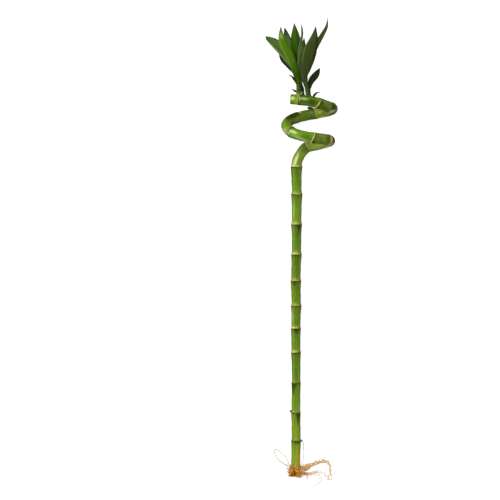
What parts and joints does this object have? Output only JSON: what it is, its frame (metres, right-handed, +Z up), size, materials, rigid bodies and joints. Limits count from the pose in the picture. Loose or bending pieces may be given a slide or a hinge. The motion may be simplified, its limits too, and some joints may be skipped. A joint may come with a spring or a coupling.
{
  "type": "lucky bamboo stalk",
  "caption": "Spiral lucky bamboo stalk: a green cane with raised rings and a coiled top, narrow pointed leaves and a tuft of bare orange roots, lying on its side.",
  "frame": {"origin": "middle of the bounding box, on the surface that the stalk lies on", "axes": "+Y along the cane from the roots to the leaves, +X to the right when the stalk is seen from above with its leaves away from the viewer, +Z up from the surface"},
  "size_m": [0.1082, 0.701, 0.1064],
  "materials": {
    "cane": "smooth green living cane with a soft sheen, cream rings with a thin dark line under each",
    "shoot": "smooth green shoot wrapped in leaf sheaths",
    "leaf": "dark green smooth leaf with a satin sheen and fine lengthwise veins",
    "leaf_bright": "bright green smooth leaf with a satin sheen and fine lengthwise veins",
    "root": "orange to tan fine roots, dull"
  },
  "bodies": {
    "root": {"cane": "cane", "shoot_stem_left": "shoot", "shoot_stem_right": "shoot", "leaf_left_front": "leaf_bright", "leaf_left_far": "leaf", "leaf_left_under": "leaf", "leaf_left_back": "leaf", "leaf_middle": "leaf_bright", "leaf_edge_on": "leaf", "leaf_right_inner": "leaf", "leaf_right_front": "leaf", "leaf_right_long": "leaf", "leaf_right_small": "leaf", "leaf_sheath_between": "leaf", "scale_leaf_right": "leaf", "scale_leaf_left_high": "leaf", "scale_leaf_left_low": "leaf", "root_tuft": "root"}
  },
  "joints": []
}
